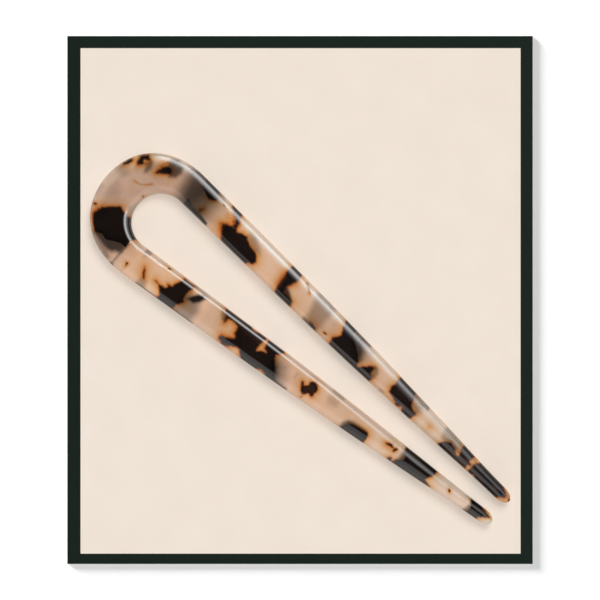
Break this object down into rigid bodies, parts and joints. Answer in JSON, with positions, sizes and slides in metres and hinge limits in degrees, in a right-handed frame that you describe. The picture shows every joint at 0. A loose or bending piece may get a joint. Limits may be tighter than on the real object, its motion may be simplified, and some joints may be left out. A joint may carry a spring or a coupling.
{
  "type": "french hair pin on display card",
  "caption": "U-shaped acetate hair pin with two tapering prongs that hold a bun, lying across a plain bordered display card.",
  "frame": {"origin": "middle of the card's back face", "axes": "+X to the right across the card's face, +Y up the card, +Z out of its face through the pin's thickness"},
  "size_m": [0.1146, 0.1298, 0.0051],
  "materials": {
    "tortoise_acetate": "polished blond acetate with near-black and amber tortoiseshell blots",
    "printed_card": "matt cream print with a narrow near-black border, plain board at the edges and back"
  },
  "bodies": {
    "root": {"hair_pin": "tortoise_acetate", "display_card": "printed_card"}
  },
  "joints": []
}
